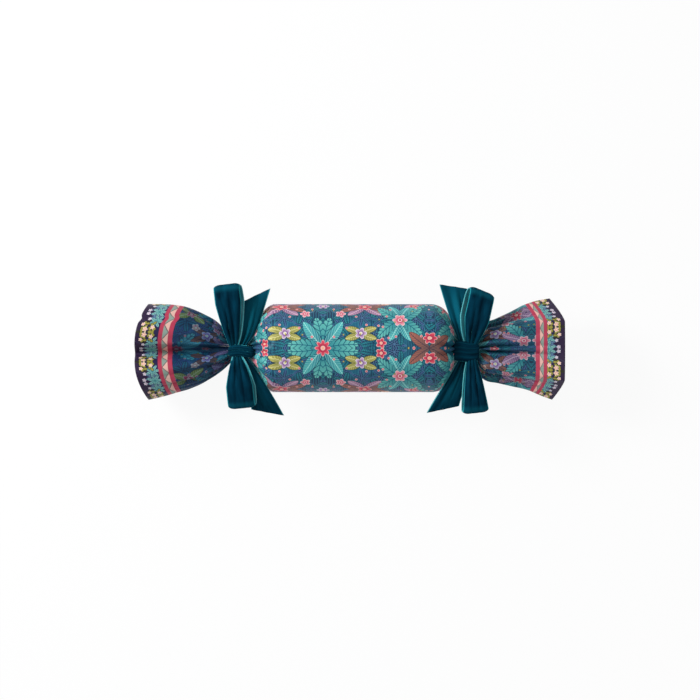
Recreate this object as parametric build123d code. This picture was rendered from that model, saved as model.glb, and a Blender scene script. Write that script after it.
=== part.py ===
"""A Christmas cracker wrapped in a printed silk square and tied at both chokes with velvet ribbon bows.

It lies on its barrel as on a table. X runs along the barrel, Z is up, and the bows are on top. The origin is on the
table, under the barrel's axis, midway between the two chokes. Lengths are in millimetres and angles in degrees.
"""

from build123d import *
from math import cos, pi, sin, sqrt
import os

# The barrel: a card tube, a sheet of card rolled round it, and the silk over both
barrel_diameter = 70.4  # outside, over the silk
barrel_length = 128.0  # of the card tube
tube_wall = 1.2
card_thickness = 0.4
silk_thickness = 0.5  # two turns of silk
layer_gap = 0.25  # between one layer and the next

# The lap, where the silk's free edge lies along the underside, and the flat that the cracker rests on
lap_width = 30.0
lap_thickness = 0.4
rest_flat_depth = 0.5

# The chokes, where the wrap is gathered to a neck round the snap
choke_spacing = 180.0  # from one choke's middle to the other's
neck_diameter = 18.0  # over the silk
neck_silk_bore = 12.5  # inside the gathered silk
neck_length = 11.0
neck_pleat = 1.4  # how deep the pleats are in the neck
shoulder_fold = 2.0  # how deep the folds are on a shoulder
end_fold = 2.6  # how deep the folds are where an end opens out

# The open ends, measured from the choke's middle to the middle of the mouth
left_end_length = 84.0
right_end_length = 78.0
left_mouth_width = 77.0
left_mouth_height = 48.0
right_mouth_width = 82.0
right_mouth_height = 51.0
hem_overhang = 1.5  # how far the silk reaches past the card inside it
card_slot_width = 1.2  # the six slots that let the card fold in at a choke
card_slot_length = 26.0

# The velvet ribbons
ribbon_width = 22.0
ribbon_thickness = 1.2
ribbon_gap = 0.3  # round the neck, under the ribbon
neck_band_width = 10.0  # the ribbon is crushed narrower round the neck
waist_width = 8.0  # and where a loop or a tail leaves the knot
knot_length = 19.0
left_knot_width = 10.0
right_knot_width = 16.0
knot_height = 9.6
loop_opening = 9.0  # inside a loop, at its far end
loop_crest = 11.0  # how far a loop's top strand rises over the knot's middle
loop_shift = 4.0  # how far the loops sit from the knot's middle, towards the open end
tail_crest = 3.0  # how far a tail rises over the level at which it leaves the knot
tail_drop = 12.0  # and how far its tip falls below that level

# How far each loop reaches from the choke's middle, and its lean towards the open end
left_upper_loop_reach = 52.5
left_upper_loop_angle = 7.5
left_lower_loop_reach = 47.5
left_lower_loop_angle = -6.0
right_upper_loop_reach = 50.0
right_upper_loop_angle = 11.0
right_lower_loop_reach = 50.0
right_lower_loop_angle = 3.5

# Each tail's long edge and short edge, from the choke's middle, and its lean towards the barrel
left_upper_tail_long = 54.0
left_upper_tail_short = 35.0
left_upper_tail_angle = 16.5
left_lower_tail_long = 61.0
left_lower_tail_short = 49.0
left_lower_tail_angle = 21.5
right_upper_tail_long = 55.0
right_upper_tail_short = 46.5
right_upper_tail_angle = 11.0
right_lower_tail_long = 58.0
right_lower_tail_short = 43.0
right_lower_tail_angle = 22.0

# The snap: two strips of card that overlap in the middle, in a paper sleeve that is glued to the left one
snap_width = 8.0
snap_card_thickness = 0.5
snap_card_spacing = 0.4  # between the two strips' faces
snap_length = 280.0
snap_overlap = 26.0
snap_bore_gap = 0.3  # between the sleeve and the gathered card
patch_thickness = 0.15
patch_length = 6.0
patch_inset = 3.0  # from a strip's inner end
sleeve_wall = 0.2
sleeve_gap = 0.1
sleeve_length = 24.0

# What is inside the barrel: the gift lies at the bottom, with the crown on one side and the motto on the other
content_gap = 0.3  # between each thing and what it lies on or against
gift_length = 40.0
gift_width = 20.0
gift_height = 14.0
gift_wall = 1.0
gift_lid_height = 6.0
gift_lid_gap = 0.1
gift_place = -18.0  # along the barrel from its middle
crown_roll_diameter = 12.0
crown_roll_bore = 4.0
crown_roll_length = 62.0
crown_place = 12.0
crown_band_thickness = 0.4
crown_band_width = 12.0
motto_roll_diameter = 8.0
motto_roll_bore = 5.0
motto_roll_length = 46.0
motto_place = -8.0

overrun = 1.0  # how far a cutting shape runs past what it cuts

# A shoulder's stations, as shares: how far along it, and how far its radius still is from the neck's to the barrel's
left_shoulder_shares = [(0, 1), (0.12, 0.965), (0.24, 0.9), (0.38, 0.795), (0.52, 0.64), (0.66, 0.45)]
left_shoulder_shares += [(0.8, 0.25), (0.9, 0.1), (1, 0)]
right_shoulder_shares = [(0, 1), (0.14, 0.98), (0.28, 0.935), (0.42, 0.86), (0.56, 0.74), (0.68, 0.53)]
right_shoulder_shares += [(0.78, 0.27), (0.88, 0.09), (1, 0)]

# An open end's stations, as shares: how far from the neck to the mouth, and how far its outline has grown
left_end_shares = [(0, 0), (0.05, 0.07), (0.1, 0.25), (0.16, 0.43), (0.26, 0.6), (0.4, 0.77), (0.58, 0.91)]
left_end_shares += [(0.8, 0.99), (1.06, 1)]
right_end_shares = [(0, 0), (0.055, 0.07), (0.1, 0.25), (0.155, 0.45), (0.24, 0.54), (0.4, 0.69), (0.6, 0.83)]
right_end_shares += [(0.8, 0.94), (1.06, 1.02)]

# The mouths, as shares of half the width and half the height, round the axis from the +Y side. Each even point is a
# crease. The left mouth has a deep fold along its top, and the right one has six flat facets.
left_mouth_shares = [(0.92, 0.05), (0.82, 0.6), (0.45, 0.97), (-0.13, 0.6), (-0.55, 1), (-0.9, 0.62)]
left_mouth_shares += [(-1.08, 0.02), (-0.88, -0.6), (-0.47, -1), (0, -0.84), (0.42, -1), (0.76, -0.58)]
left_roundness_share = 0.8
right_mouth_shares = [(0.98, 0), (0.77, 0.5), (0.54, 1), (-0.04, 1.02), (-0.62, 1), (-0.82, 0.5)]
right_mouth_shares += [(-1.02, 0), (-0.82, -0.5), (-0.6, -1), (-0.04, -1.02), (0.54, -1), (0.77, -0.5)]
right_roundness_share = 0.15
left_side_share = 0.875  # of the end's length, where the mouth's edge meets a side of the wrap
right_side_share = 0.87

# A slot round the snap, as shares of half its width and half its height, with as many points as the other outlines
slot_shares = [(1, 0), (1, 1), (0.5, 1), (0, 1), (-0.5, 1), (-1, 1), (-1, 0), (-1, -1), (-0.5, -1), (0, -1)]
slot_shares += [(0.5, -1), (1, -1)]

# A loop and a tail of ribbon, seen from above, and a knot, as shares of the ribbon's width and of their own sizes
loop_widening_shares = (0.36, 0.82)  # how far out a loop is this wide, of its length and of the ribbon's width
tail_widening_shares = (0.56, 0.5)
loop_corner_share = 0.93  # how far out a loop's end begins to round
loop_middle_share = 0.45  # how far out a loop is at its fullest
loop_floor_share = 0.26  # how far a loop's lower strand rises over the knot's middle there, of the crest
loop_end_share = 0.22  # and how high its far end lies
tail_crest_share = 0.4
tail_root_share = 0.1  # how far below the knot's middle a tail leaves it, of the knot's height
knot_shares = [(-1, 0.74), (-0.72, 0.94), (0, 1), (0.72, 0.94), (1, 0.74)]
knot_edge_share = 0.22  # a knot's height at its two ends, of its middle's

# Worked out from the sizes above
points_round = len(slot_shares)
bulge_share = (1 - cos(pi / points_round)) / (2 * sin(pi / points_round))  # of a chord, on a true circle
silk_radius = barrel_diameter / 2
axis_height = silk_radius + lap_thickness - rest_flat_depth
card_depth = silk_thickness + layer_gap
tube_radius = silk_radius - card_depth - card_thickness - layer_gap
tube_bore_radius = tube_radius - tube_wall
neck_radius = neck_diameter / 2
choke_place = choke_spacing / 2
shoulder_length = choke_place - neck_length / 2 - barrel_length / 2
stack_half_height = snap_card_thickness + snap_card_spacing / 2
bore_half_width = snap_width / 2 + sleeve_gap + sleeve_wall + snap_bore_gap
bore_half_height = stack_half_height + sleeve_gap + sleeve_wall + snap_bore_gap
strip_length = (snap_length + snap_overlap) / 2
band_radius = neck_radius + ribbon_gap + ribbon_thickness
knot_middle_height = band_radius + knot_height / 2


class End:
    """One open end of the wrap, with the shoulder beside it: the side that it is on, and its own sizes."""

    def __init__(self, side, length, width, height, shoulder_shares, end_shares, mouth_shares, roundness):
        self.side = side
        self.length = length - neck_length / 2
        self.shoulder_shares = shoulder_shares
        self.end_shares = end_shares
        self.mouth = [(y * width / 2, z * height / 2) for y, z in mouth_shares]
        self.roundness = roundness


left_end = End(
    -1,
    left_end_length,
    left_mouth_width,
    left_mouth_height,
    left_shoulder_shares,
    left_end_shares,
    left_mouth_shares,
    left_roundness_share,
)
right_end = End(
    1,
    right_end_length,
    right_mouth_width,
    right_mouth_height,
    right_shoulder_shares,
    right_end_shares,
    right_mouth_shares,
    right_roundness_share,
)


def round_outline(radius):
    """Evenly spaced points on a circle round the axis."""
    angles = [2 * pi * i / points_round for i in range(points_round)]
    return [(radius * cos(angle), radius * sin(angle)) for angle in angles]


def drawn_in(points, depth):
    """A closed outline moved inwards by a depth, corner by corner."""
    moved = []
    for i, (y, z) in enumerate(points):
        here = Vector(y, z)
        one = (here - Vector(*points[i - 1])).normalized()
        two = (Vector(*points[(i + 1) % len(points)]) - here).normalized()
        inward = depth / (1 + one.dot(two))
        moved.append((y - (one.Y + two.Y) * inward, z + (one.X + two.X) * inward))
    return moved


def between(first, second, share):
    """An outline that lies a share of the way from one outline to another."""
    return [(a + (c - a) * share, b + (d - b) * share) for (a, b), (c, d) in zip(first, second)]


def folded(points, depth):
    """An outline with every second point drawn towards the axis by a depth."""
    moved = []
    for i, (y, z) in enumerate(points):
        share = 1 - depth * (i % 2) / sqrt(y * y + z * z)
        moved.append((y * share, z * share))
    return moved


def ring(x, points, roundness):
    """A closed wire across the axis at x, with a shallow arc from each point to the next."""
    edges = []
    for i, (y, z) in enumerate(points):
        next_y, next_z = points[(i + 1) % len(points)]
        middle_y = (y + next_y) / 2 + (next_z - z) * bulge_share * roundness
        middle_z = (z + next_z) / 2 - (next_y - y) * bulge_share * roundness
        start = (x, y, axis_height + z)
        middle = (x, middle_y, axis_height + middle_z)
        edges.append(Edge.make_three_point_arc(start, middle, (x, next_y, axis_height + next_z)))
    return Wire(edges)


def inward_steps(profile, depth):
    """How far along the axis each place of a profile moves when it is taken in by a depth along its normals."""
    steps = []
    for i in range(len(profile)):
        x0, r0 = profile[max(i - 1, 0)]
        x1, r1 = profile[min(i + 1, len(profile) - 1)]
        steps.append(depth * (r1 - r0) / sqrt((x1 - x0) ** 2 + (r1 - r0) ** 2))
    return steps


def half_rings(end, depth, neck_outline, pleat):
    """The rings of one half of a layer of the wrap, from the barrel out to the mouth."""
    barrel = round_outline(silk_radius - depth)
    mouth = drawn_in(end.mouth, depth)
    neck_end = choke_place + neck_length / 2
    stations = []
    for along, share in end.shoulder_shares:
        x = barrel_length / 2 + along * shoulder_length
        stations.append((x, share, silk_radius, barrel, shoulder_fold, 1))
    for along, share in end.end_shares:
        x = neck_end + along * end.length
        stations.append((x, share, max(y for y, _ in end.mouth), mouth, end_fold, end.roundness))
    profile = [(x, neck_radius + share * (reach - neck_radius)) for x, share, reach, *_ in stations]
    rings = []
    for (x, share, _, wide, fold, roundness), step in zip(stations, inward_steps(profile, depth)):
        outline = between(neck_outline, wide, share)
        fold_here = 4 * fold * share * max(1 - share, 0) + pleat * (1 - share) ** 2
        rings.append(ring(end.side * (x + step), folded(outline, fold_here), 1 + (roundness - 1) * share))
    return rings


def layer(depth, neck_outline, pleat=0):
    """A solid that fills the wrap from mouth to mouth, out to a depth under the silk's outer face."""
    left = half_rings(left_end, depth, neck_outline, pleat)
    right = half_rings(right_end, depth, neck_outline, pleat)
    return Solid.make_loft(left[::-1] + right, ruled=True)


def mouth_trim(overhang):
    """What lies between the two mouths' edges as seen from above, less an overhang at each mouth."""
    side = max(left_mouth_width, right_mouth_width)
    left = -choke_place - left_end_length + overhang
    left_side = left + left_end_length * (1 - left_side_share)
    right = choke_place + right_end_length - overhang
    right_side = right - right_end_length * (1 - right_side_share)
    facet_high = right_mouth_shares[2][0] * right_mouth_width / 2
    facet_low = right_mouth_shares[4][0] * right_mouth_width / 2
    rim = Edge.make_three_point_arc((left_side, side / 2), (left, 0), (left_side, -side / 2))
    corners = [(left_side, -side / 2), (right_side, -side / 2), (right, facet_low), (right, facet_high)]
    corners += [(right_side, side / 2), (left_side, side / 2)]
    outline = Wire([rim] + [Edge.make_line(a, b) for a, b in zip(corners, corners[1:])])
    return extrude(Face(outline), 2 * axis_height + overrun, dir=(0, 0, 1))


def make_silk_wrap():
    """The silk: smooth round the barrel, pleated at the necks, open at both ends, and lapped underneath."""
    shell = layer(0, round_outline(neck_radius), neck_pleat)
    shell -= layer(silk_thickness, round_outline(neck_silk_bore / 2))
    lap_radius = silk_radius + lap_thickness
    lap = Cylinder(lap_radius, barrel_length, rotation=(0, 90, 0)) - Cylinder(
        silk_radius - silk_thickness / 2, barrel_length, rotation=(0, 90, 0)
    )
    lap &= Pos(0, 0, -lap_radius) * Box(barrel_length, lap_width, lap_radius)
    wrap = (shell + Pos(0, 0, axis_height) * lap) & mouth_trim(0)
    return wrap


def make_inner_card():
    """The card under the silk, with six slots at each choke, where it folds in to a neck round the snap."""
    outside = layer(card_depth, round_outline(neck_silk_bore / 2 - layer_gap))
    slot = [(y * bore_half_width, z * bore_half_height) for y, z in slot_shares]
    sheet = (outside - layer(card_depth + card_thickness, slot)) & mouth_trim(hem_overhang)
    for side in (-1, 1):
        for i in range(points_round // 2):
            angle = 360 * (2 * i + 1) / points_round
            cutter = Pos(0, silk_radius / 2, 0) * Box(card_slot_length, silk_radius, card_slot_width)
            sheet -= Pos(side * choke_place, 0, axis_height) * Rot(angle, 0, 0) * cutter
    return sheet


def make_barrel_tube():
    """The stiff card tube that keeps the barrel round."""
    tube = Cylinder(tube_radius, barrel_length, rotation=(0, 90, 0))
    tube -= Cylinder(tube_bore_radius, barrel_length + 2 * overrun, rotation=(0, 90, 0))
    return Pos(0, 0, axis_height) * tube


def ribbon_outline(length, end_edge, widening_shares):
    """A stretch of ribbon seen from above, from the knot's middle out along +Y, widening to an end edge."""
    waist = waist_width / 2
    out, wide = length * widening_shares[0], ribbon_width / 2 * widening_shares[1]
    left = Edge.make_three_point_arc((-waist, 0), (-wide, out), end_edge @ 0)
    right = Edge.make_three_point_arc(end_edge @ 1, (wide, out), (waist, 0))
    outline = Wire([left, end_edge, right, Edge.make_line((waist, 0), (-waist, 0))])
    return extrude(Face(outline), 2 * axis_height, dir=(0, 0, 1))


def across(profile):
    """A profile drawn along Y and up Z, made into a solid as wide as the ribbon can be."""
    return Pos(-ribbon_width, 0, 0) * extrude(Face(profile), 2 * ribbon_width, dir=(1, 0, 0))


def teardrop(reach, taken_in):
    """A loop's outline from the side, taken in all round by a thickness."""
    end_radius = loop_opening / 2 + ribbon_thickness - taken_in
    end_middle = reach - loop_opening / 2 - ribbon_thickness
    fullest = reach * loop_middle_share
    level = axis_height + knot_middle_height
    end_height = level + loop_crest * loop_end_share
    root = (0, taken_in, level)
    top = (0, end_middle, end_height + end_radius)
    bottom = (0, end_middle, end_height - end_radius)
    crest = (0, fullest, level + loop_crest - taken_in)
    floor = (0, fullest, level + loop_crest * loop_floor_share + taken_in)
    edges = [
        Edge.make_three_point_arc(root, crest, top),
        Edge.make_three_point_arc(top, (0, end_middle + end_radius, end_height), bottom),
        Edge.make_three_point_arc(bottom, floor, root),
    ]
    return Wire(edges)


def make_loop(reach, angle):
    """One loop of a bow, out along +Y, leaning by an angle towards -X."""
    strands = across(teardrop(reach, 0)) - across(teardrop(reach, ribbon_thickness))
    corner = reach * loop_corner_share
    edge = Edge.make_three_point_arc((-ribbon_width / 2, corner), (0, reach), (ribbon_width / 2, corner))
    return Rot(0, 0, angle) * (strands & ribbon_outline(reach, edge, loop_widening_shares))


def make_tail(long_edge, short_edge, angle):
    """One tail of a bow, out along +Y, leaning by an angle towards +X, with its end cut on the slant."""
    level = axis_height + knot_middle_height - knot_height * tail_root_share
    crest_place = long_edge * tail_crest_share
    sides = []
    for height in (ribbon_thickness / 2, -ribbon_thickness / 2):
        root = (0, 0, level + height)
        crest = (0, crest_place, level + tail_crest + height)
        sides.append((root, crest, (0, long_edge, level - tail_drop + height)))
    upper, lower = sides
    profile = Wire(
        [
            Edge.make_three_point_arc(*upper),
            Edge.make_line(upper[2], lower[2]),
            Edge.make_three_point_arc(*lower[::-1]),
            Edge.make_line(lower[0], upper[0]),
        ]
    )
    edge = Edge.make_line((-ribbon_width / 2, short_edge), (ribbon_width / 2, long_edge))
    plan = ribbon_outline((long_edge + short_edge) / 2, edge, tail_widening_shares)
    return Rot(0, 0, -angle) * (across(profile) & plan)


def make_knot(width):
    """The knot: the ribbon that crosses over the loops' and tails' waist, as a pillow round the Y direction."""
    sections = []
    for place, size in knot_shares:
        half, middle = knot_length * size / 2, knot_height * size / 2
        edge = middle * knot_edge_share
        y = place * width / 2
        upper = Edge.make_three_point_arc((-half, y, edge), (0, y, middle), (half, y, edge))
        lower = Edge.make_three_point_arc((half, y, -edge), (0, y, -middle), (-half, y, -edge))
        near = Edge.make_line((half, y, edge), (half, y, -edge))
        far = Edge.make_line((-half, y, -edge), (-half, y, edge))
        sections.append(Wire([upper, near, lower, far]))
    return Pos(0, 0, axis_height + knot_middle_height) * Solid.make_loft(sections, ruled=True)


def make_neck_band():
    """The ribbon round the neck, and where it rises from there into the knot."""
    band = Cylinder(band_radius, neck_band_width, rotation=(0, 90, 0))
    rise = Pos(0, 0, knot_middle_height / 2) * Box(neck_band_width, waist_width, knot_middle_height)
    band += rise
    band -= Cylinder(neck_radius + ribbon_gap, neck_length + 2 * overrun, rotation=(0, 90, 0))
    return Pos(0, 0, axis_height) * band


def make_ribbon(end, knot_width, upper_loop, lower_loop, upper_tail, lower_tail):
    """One ribbon tied in a bow round a choke, made as on the left choke, where the barrel is at +X."""
    upper = Pos(-loop_shift, 0, 0) * make_loop(*upper_loop) + make_tail(*upper_tail)
    lower = Pos(-loop_shift, 0, 0) * make_loop(*lower_loop) + make_tail(*lower_tail)
    bow = make_neck_band() + make_knot(knot_width) + upper + mirror(lower, about=Plane.XZ)
    if end.side > 0:
        bow = mirror(bow, about=Plane.YZ)
    return Pos(end.side * choke_place, 0, 0) * bow


def make_left_ribbon():
    return make_ribbon(
        left_end,
        left_knot_width,
        (left_upper_loop_reach, left_upper_loop_angle),
        (left_lower_loop_reach, left_lower_loop_angle),
        (left_upper_tail_long, left_upper_tail_short, left_upper_tail_angle),
        (left_lower_tail_long, left_lower_tail_short, left_lower_tail_angle),
    )


def make_right_ribbon():
    return make_ribbon(
        right_end,
        right_knot_width,
        (right_upper_loop_reach, right_upper_loop_angle),
        (right_lower_loop_reach, right_lower_loop_angle),
        (right_upper_tail_long, right_upper_tail_short, right_upper_tail_angle),
        (right_lower_tail_long, right_lower_tail_short, right_lower_tail_angle),
    )


def strip_middle(side):
    """The middle of the snap's strip on one side: the left strip lies over the right one."""
    height = (snap_card_spacing + snap_card_thickness) / 2
    return side * (strip_length - snap_overlap) / 2, axis_height - side * height


def make_snap_card(side):
    """One strip of the snap, from a little past the middle out into an open end."""
    x, z = strip_middle(side)
    return Pos(x, 0, z) * Box(strip_length, snap_width, snap_card_thickness)


def make_snap_patch(side):
    """The charge or the grit, on the face of a strip that meets the other strip."""
    x = -side * (snap_overlap / 2 - patch_inset - patch_length / 2)
    z = axis_height - side * (snap_card_spacing - patch_thickness) / 2
    return Pos(x, 0, z) * Box(patch_length, snap_width, patch_thickness)


def make_snap_sleeve():
    """The paper sleeve round both strips where they overlap."""
    inside_width, inside_height = snap_width + 2 * sleeve_gap, 2 * (stack_half_height + sleeve_gap)
    sleeve = Box(sleeve_length, inside_width + 2 * sleeve_wall, inside_height + 2 * sleeve_wall)
    sleeve -= Box(sleeve_length + 2 * overrun, inside_width, inside_height)
    return Pos(0, 0, axis_height) * sleeve


def gift_floor():
    """The height of the gift box's underside, where its two lower edges lie on the tube."""
    half = gift_width / 2 - gift_wall - gift_lid_gap
    return axis_height - sqrt((tube_bore_radius - content_gap) ** 2 - half**2)


def make_gift_box_base():
    """The gift box, open at the top."""
    lid_rim = 2 * (gift_wall + gift_lid_gap)
    length, width, height = gift_length - lid_rim, gift_width - lid_rim, gift_height - gift_wall - gift_lid_gap
    base = Pos(0, 0, height / 2) * Box(length, width, height)
    base -= Pos(0, 0, gift_wall + height / 2) * Box(length - 2 * gift_wall, width - 2 * gift_wall, height)
    return Pos(gift_place, 0, gift_floor()) * base


def make_gift_box_lid():
    """The lid that fits over the gift box."""
    lid = Box(gift_length, gift_width, gift_lid_height)
    hollow = Box(gift_length - 2 * gift_wall, gift_width - 2 * gift_wall, gift_lid_height)
    lid -= Pos(0, 0, -gift_wall) * hollow
    return Pos(gift_place, 0, gift_floor() + gift_height - gift_lid_height / 2) * lid


def beside_gift(side, place, radius):
    """The middle of a roll that lies on the tube and against one side of the gift."""
    distance = tube_bore_radius - content_gap - radius
    y = gift_width / 2 + content_gap + radius
    return place, side * y, axis_height - sqrt(distance**2 - y**2)


def make_roll(middle, diameter, bore, length):
    """A roll of paper along X."""
    roll = Cylinder(diameter / 2, length, rotation=(0, 90, 0))
    roll -= Cylinder(bore / 2, length + 2 * overrun, rotation=(0, 90, 0))
    return Pos(*middle) * roll


crown_middle = beside_gift(1, crown_place, crown_roll_diameter / 2 + crown_band_thickness)
motto_middle = beside_gift(-1, motto_place, motto_roll_diameter / 2)
band_diameter = crown_roll_diameter + 2 * crown_band_thickness

parts = {
    "silk_wrap": make_silk_wrap(),
    "inner_card": make_inner_card(),
    "barrel_tube": make_barrel_tube(),
    "left_ribbon": make_left_ribbon(),
    "right_ribbon": make_right_ribbon(),
    "snap_card_left": make_snap_card(-1),
    "snap_card_right": make_snap_card(1),
    "snap_charge": make_snap_patch(-1),
    "snap_grit": make_snap_patch(1),
    "snap_sleeve": make_snap_sleeve(),
    "gift_box_base": make_gift_box_base(),
    "gift_box_lid": make_gift_box_lid(),
    "paper_crown": make_roll(crown_middle, crown_roll_diameter, crown_roll_bore, crown_roll_length),
    "crown_band": make_roll(crown_middle, band_diameter, crown_roll_diameter, crown_band_width),
    "motto_slip": make_roll(motto_middle, motto_roll_diameter, motto_roll_bore, motto_roll_length),
}

os.makedirs("parts", exist_ok=True)
for name, solid in parts.items():
    export_step(solid, f"parts/{name}.step")
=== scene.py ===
"""The looks of a Christmas cracker: printed silk twill over a card barrel, tied with velvet ribbon bows.

Lengths are in metres, apart from cloth lengths in the materials, which are in millimetres. X runs along the
barrel, Z is up, and the cracker lies on the floor at Z = 0.
"""

from functools import partial
from math import cos, pi, radians, sin
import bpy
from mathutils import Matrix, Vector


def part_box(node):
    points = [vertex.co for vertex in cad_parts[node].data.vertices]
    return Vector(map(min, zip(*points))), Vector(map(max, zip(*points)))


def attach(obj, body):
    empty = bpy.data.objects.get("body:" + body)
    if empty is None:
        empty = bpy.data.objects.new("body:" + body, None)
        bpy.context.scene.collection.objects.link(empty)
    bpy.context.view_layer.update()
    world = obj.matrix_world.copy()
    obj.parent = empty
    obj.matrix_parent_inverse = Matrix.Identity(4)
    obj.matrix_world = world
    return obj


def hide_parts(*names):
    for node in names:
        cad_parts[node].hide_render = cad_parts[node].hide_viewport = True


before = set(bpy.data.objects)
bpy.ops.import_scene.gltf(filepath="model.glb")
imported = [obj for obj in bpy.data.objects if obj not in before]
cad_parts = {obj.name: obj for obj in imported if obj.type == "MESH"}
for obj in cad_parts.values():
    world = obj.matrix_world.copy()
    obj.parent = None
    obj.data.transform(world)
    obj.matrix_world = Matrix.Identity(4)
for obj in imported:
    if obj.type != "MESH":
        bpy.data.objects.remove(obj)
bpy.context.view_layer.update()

from types import SimpleNamespace

import bpy
import numpy as np
from mathutils import Vector

MM = 0.001
TURN = 2 * pi

# The cracker's own sizes, as in the frame
AXIS = sum(corner[2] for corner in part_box("barrel_tube")) / 2
BARREL_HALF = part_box("barrel_tube")[1][0]
SILK_RADIUS = 35.2 * MM
NECK_RADIUS = 8.9 * MM
CHOKE = 90 * MM
NECK_START = CHOKE - 5.5 * MM
NECK_END = CHOKE + 5.5 * MM
LEFT_MOUTH_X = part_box("silk_wrap")[0][0]
RIGHT_MOUTH_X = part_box("silk_wrap")[1][0]
SILK_THICK = 0.35 * MM
LAP_WIDTH = 14 * MM
LAP_RISE = 0.4 * MM
LAP_STEP = 3  # columns of the cloth's grid, over which it rises
FLOOR_GAP = 0.05 * MM
CARD_THICK = 0.4 * MM
CARD_DEPTH = 0.75 * MM  # of the card's outer face under the silk's
CARD_SHORT = 1.5 * MM  # how far the card stops before each hem
CARD_SPAN = 0.008  # of a turn: the card is stiffer than the silk and bridges folds that are narrower
SLOTS = 6  # round each choke
SLOT_HALF = 13 * MM
SLOT_COLUMNS = 2
SNAP_ROOM = 7.2 * MM  # round the axis, which no fold goes into, for the snap to slide through
SNAP_EASE = 0.8 * MM  # over which a deep fold eases off to that room

# How finely the cloth is made
SILK_ROWS, SILK_COLUMNS = 340, 440
CARD_ROWS, CARD_COLUMNS = 216, 216
END_ROW_SPREAD = 1.15  # above 1, an end's rows lie closer together near the neck
SPLINE_STEPS = 40
CORNER_STEPS = 20

# The wrap's shape, as shares: how far along a shoulder or an end, and how far its outline has grown
LEFT_SHOULDER = [(0, 1), (0.12, 0.965), (0.24, 0.9), (0.38, 0.795), (0.52, 0.64)]
LEFT_SHOULDER += [(0.66, 0.45), (0.8, 0.25), (0.9, 0.1), (1, 0)]
RIGHT_SHOULDER = [(0, 1), (0.14, 0.985), (0.28, 0.95), (0.42, 0.885), (0.56, 0.77)]
RIGHT_SHOULDER += [(0.68, 0.61), (0.78, 0.41), (0.88, 0.19), (1, 0)]
LEFT_FAR_SIDE = [(0, 0), (0.05, 0.07), (0.1, 0.25), (0.16, 0.43), (0.26, 0.6)]
LEFT_FAR_SIDE += [(0.4, 0.77), (0.58, 0.91), (0.8, 0.99), (1, 1)]
LEFT_NEAR_SIDE = [(0, 0), (0.05, 0.15), (0.13, 0.34), (0.3, 0.6)]
LEFT_NEAR_SIDE += [(0.5, 0.76), (0.65, 0.83), (0.8, 0.91), (1, 1)]
RIGHT_FAR_SIDE = [(0, 0), (0.055, 0.07), (0.1, 0.25), (0.155, 0.45), (0.24, 0.54)]
RIGHT_FAR_SIDE += [(0.4, 0.69), (0.6, 0.83), (0.8, 0.94), (1, 1.01)]
RIGHT_NEAR_SIDE = [(0, 0), (0.04, 0.22), (0.08, 0.44), (0.13, 0.55), (0.28, 0.63)]
RIGHT_NEAR_SIDE += [(0.45, 0.71), (0.65, 0.79), (0.8, 0.885), (1, 1)]
MOST_GROWN = 1.02

# The mouths' outlines round the axis from the +Y side, in millimetres
LEFT_MOUTH = [(35.4, 1), (31.5, 14), (17, 23.8), (4, 21), (-4.5, 10), (-11, 20.5), (-21, 24.2), (-34, 15)]
LEFT_MOUTH += [(-41.2, 0.5), (-34, -14.5), (-18, -24), (0, -20.5), (16, -24), (29.5, -14)]
RIGHT_MOUTH = [(40.2, 0), (22, 25.5), (-25.5, 25.5), (-41.6, 0), (-25, -25.5), (22, -25.5)]
CORNER_SOFTNESS = 0.06  # of a side, at each corner of the right mouth
EDGE_REACH = 0.62  # of an end, outside the neck, over which the mouth's own edge line takes hold

# The wrap's folds. Each pair is for its broad folds and its fine pleats
FOLD_COUNTS = (13, 27)  # round the wrap
FOLD_SHARPNESS = (1.1, 0.8)  # the power that shapes their ridges
END_FOLDS = (4.6 * MM, 2.2 * MM)
SHOULDER_FOLDS = (3.6 * MM, 2.2 * MM)
UNEVEN_WAVES = 6  # slow waves, each of its own strength, that space the folds unevenly
UNEVENNESS = (0.3, 1.3)
HEIGHT_CHANGE = 0.35  # of their depth, in five waves round the wrap
NECK_PLEATS = 1.1 * MM
EDGE_PLEATS = 1.1  # of the shoulder folds' depth, kept until close to the barrel's edge
EDGE_PLEATS_FADE = 0.1  # of the outline's growth, where they fade
VALLEY_DEPTH = 6.0 * MM  # of the one deep fold on top of each end
VALLEY_WIDTH = 0.032  # of a turn
SLACK = 0.175 * MM  # the ends' slow waves
SLACK_WAVES = 3

# Each border, from the hem inwards, in millimetres: outer band, red stripe, band of triangles, red stripe
LEFT_BORDER = [18.8, 2.8, 4.7, 3.1]
RIGHT_BORDER = [14.4, 2.6, 3.0, 2.6]
TRIANGLE_HALF = 6.2
STRIPE_RED = "#b33a54"
BORDER_LINES = (1, 2, 3, 4)  # the stretched coordinate's value at the inner edge of each of them

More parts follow.
